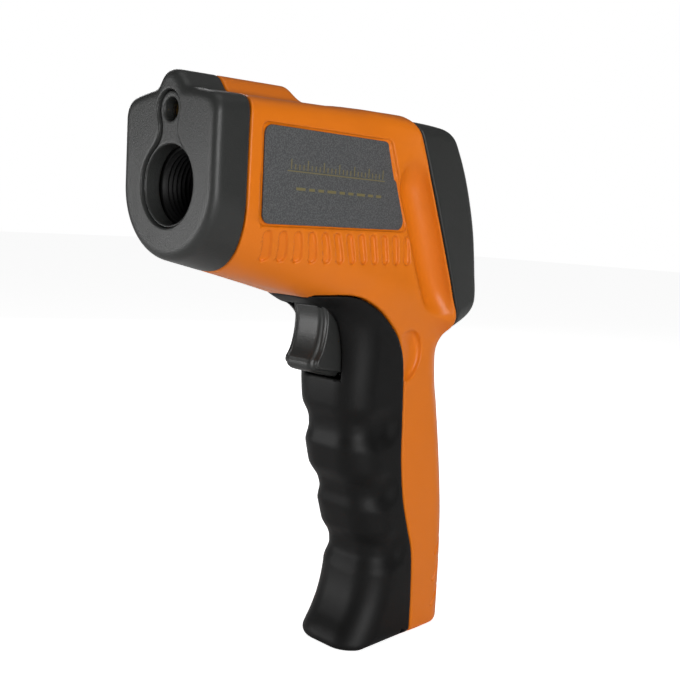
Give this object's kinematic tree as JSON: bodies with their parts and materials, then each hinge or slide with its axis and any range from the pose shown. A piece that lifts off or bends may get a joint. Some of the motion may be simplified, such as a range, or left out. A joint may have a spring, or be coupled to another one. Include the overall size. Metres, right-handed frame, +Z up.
{
  "type": "infrared thermometer",
  "caption": "Pistol-grip infrared thermometer with a lens and aiming beam in the nose, a trigger, a leaning rear display and a grip front that opens as the battery door.",
  "frame": {"origin": "on the optical axis, at the middle of the lens opening's straight wall, 2.9 mm behind the nose face", "axes": "+Z up, -Y the way the nose looks, +Y the way the display faces, +X the user's left-hand side"},
  "size_m": [0.043, 0.1019, 0.153],
  "materials": {
    "orange_plastic": "satin moulded",
    "black_plastic": "fine grained",
    "grip_black": "satin",
    "lens_plastic": "polished",
    "steel": "bright",
    "circuit_board": "solder mask",
    "brass": "turned",
    "clear_window": "polished",
    "lcd_glass": "polished",
    "diffuser": "frosted",
    "elastomer": "soft",
    "epoxy": "gloss",
    "button_grey": "soft matt",
    "label_film": "textured film",
    "cell_wrap": "printed sleeve",
    "red_plastic": "gloss",
    "red_wire": "matt",
    "black_wire": "matt",
    "grey_wire": "matt",
    "blue_wire": "matt"
  },
  "bodies": {
    "housing": {"left_shell": "orange_plastic", "right_shell": "orange_plastic", "nose_cap": "black_plastic", "optics_insert": "black_plastic", "lens_barrel": "black_plastic", "ir_lens": "lens_plastic", "lens_ring": "steel", "thermopile_sensor": "steel", "sensor_board": "circuit_board", "laser_module": "brass", "laser_lens": "lens_plastic", "rear_bezel": "black_plastic", "lcd_window": "clear_window", "lcd_panel": "lcd_glass", "lcd_backlight": "diffuser", "zebra_strip": "elastomer", "main_board": "circuit_board", "main_chip": "epoxy", "buzzer": "brass", "dome_switches": "steel", "board_screws": "steel", "body_screws": "steel", "left_label": "label_film", "right_label": "label_film", "battery_tray": "black_plastic", "battery_left": "cell_wrap", "battery_right": "cell_wrap", "contact_springs": "steel", "terminal_plates": "steel", "bridge_plate": "steel", "switch_board": "circuit_board", "trigger_switch": "epoxy", "positive_wire": "red_wire", "negative_wire": "black_wire", "sensor_cable": "grey_wire", "laser_wires": "blue_wire", "door_pin": "steel"},
    "door": {"battery_door": "grip_black", "trigger_pin": "steel", "trigger_spring": "steel"},
    "trigger": {"trigger": "grip_black"},
    "left_key": {"button_left": "button_grey"},
    "middle_key": {"button_middle": "button_grey"},
    "right_key": {"button_right": "button_grey"},
    "plunger": {"switch_plunger": "red_plastic"}
  },
  "joints": [
    {"name": "battery_door_hinge", "type": "hinge", "parent": "housing", "child": "door", "pos_m": [0, 0.0791, -0.1258], "axis": [1, 0, 0], "range_deg": [0, 75]},
    {"name": "trigger_pivot", "type": "hinge", "parent": "door", "child": "trigger", "pos_m": [0, 0.0516, -0.0315], "axis": [1, 0, 0], "range_deg": [0, 7], "deforming": ["trigger_spring"]},
    {"name": "left_key_press", "type": "slide", "parent": "housing", "child": "left_key", "axis": [0, -0.915, -0.4035], "range_m": [0, 0.0008]},
    {"name": "middle_key_press", "type": "slide", "parent": "housing", "child": "middle_key", "axis": [0, -0.915, -0.4035], "range_m": [0, 0.0008]},
    {"name": "right_key_press", "type": "slide", "parent": "housing", "child": "right_key", "axis": [0, -0.915, -0.4035], "range_m": [0, 0.0008]},
    {"name": "plunger_press", "type": "slide", "parent": "housing", "child": "plunger", "axis": [0, 1, 0], "range_m": [0, 0.00098]}
  ],
  "couplings": [
    {"joint": "plunger_press", "follows": "trigger_pivot", "m_per_rad": 0.008}
  ]
}
